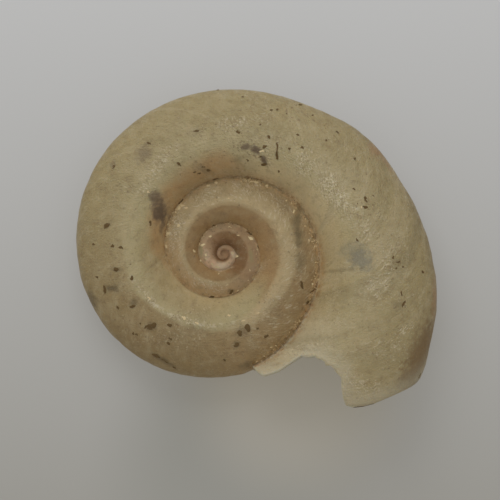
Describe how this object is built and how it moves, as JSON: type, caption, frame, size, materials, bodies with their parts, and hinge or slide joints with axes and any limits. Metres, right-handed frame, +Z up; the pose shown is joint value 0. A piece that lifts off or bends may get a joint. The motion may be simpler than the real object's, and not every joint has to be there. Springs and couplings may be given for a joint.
{
  "type": "ramshorn snail shell",
  "caption": "Flat coiled ramshorn snail shell, horn-coloured and hollow, with a sunken spire, deep sutures and a broken upper lip at the open mouth.",
  "frame": {"origin": "middle of the shell's outline seen from above, at the level of the surface that its lower side rests on", "axes": "+Z up out of the upper side of the coil, +X towards the widest part of the last whorl, the mouth opens towards -Y"},
  "size_m": [0.006, 0.0052, 0.0015],
  "materials": {
    "horn_shell": "thin horn-coloured shell, cream on the crest and browner in the sutures, satin, finely lined, with grey-brown stains and pale grains"
  },
  "bodies": {
    "root": {"shell": "horn_shell"}
  },
  "joints": []
}
